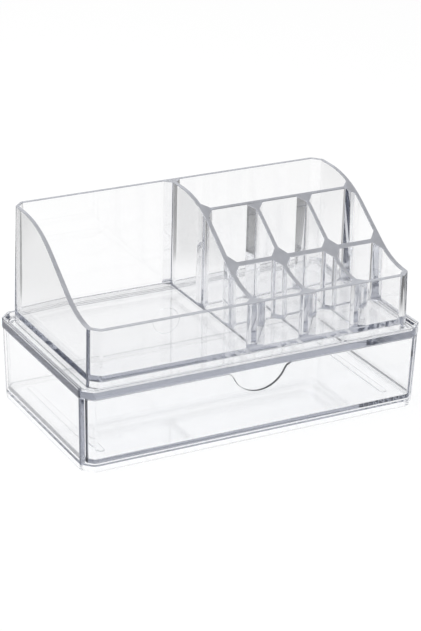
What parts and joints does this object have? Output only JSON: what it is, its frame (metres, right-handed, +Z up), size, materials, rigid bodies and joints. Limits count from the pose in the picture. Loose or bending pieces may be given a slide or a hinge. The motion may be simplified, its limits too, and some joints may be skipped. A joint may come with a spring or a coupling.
{
  "type": "cosmetics organizer",
  "caption": "Clear plastic cosmetics organizer: a stepped, partitioned tray with ogee-cut walls standing on a housing with one full-width drawer.",
  "frame": {"origin": "middle of the footprint on the surface it stands on", "axes": "+X to the user's right, +Y to the back, +Z up; the drawer pulls out towards -Y"},
  "size_m": [0.24, 0.1336, 0.132],
  "materials": {
    "clear_body": "polished clear moulding",
    "clear_plate": "polished clear moulding",
    "clear_drawer": "polished clear moulding",
    "clear_tray": "polished clear moulding"
  },
  "bodies": {
    "housing": {"housing_body": "clear_body", "housing_top_plate": "clear_plate"},
    "drawer": {"drawer": "clear_drawer"},
    "tray": {"organizer_tray": "clear_tray"}
  },
  "joints": [
    {"name": "drawer_slide", "type": "slide", "parent": "housing", "child": "drawer", "axis": [0, -1, 0], "range_m": [0, 0.115]},
    {"name": "tray_lift", "type": "slide", "parent": "housing", "child": "tray", "axis": [0, 0, 1], "range_m": [0, 0.06]}
  ]
}
